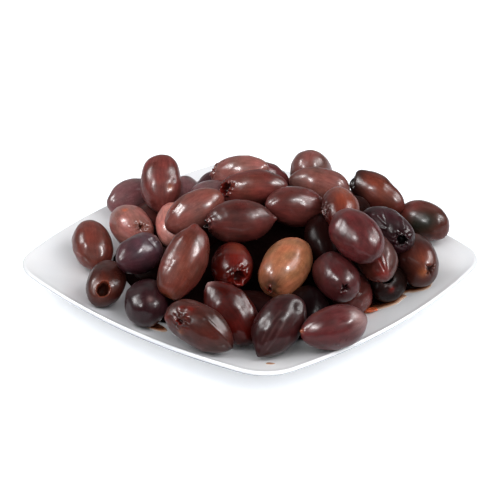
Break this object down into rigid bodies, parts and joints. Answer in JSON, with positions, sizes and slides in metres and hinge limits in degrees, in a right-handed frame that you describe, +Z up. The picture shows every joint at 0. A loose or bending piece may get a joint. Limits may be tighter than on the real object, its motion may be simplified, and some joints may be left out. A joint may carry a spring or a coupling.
{
  "type": "dish of olives",
  "caption": "Small shallow square dish with bowed sides, heaped with dark pitted olives, ready to serve.",
  "frame": {"origin": "centre of the dish's foot ring, in the plane that it stands on", "axes": "+Z up, +X to the corner of the dish at the viewer's right, -Y to the corner that points at the viewer"},
  "size_m": [0.1686, 0.1686, 0.0488],
  "materials": {
    "dish": "smooth white glaze",
    "olives": "stands for wet olive skin, brown to purple-black, with fine specks and soft broad highlights"
  },
  "bodies": {
    "root": {"dish": "dish", "olive_heap": "olives"}
  },
  "joints": []
}
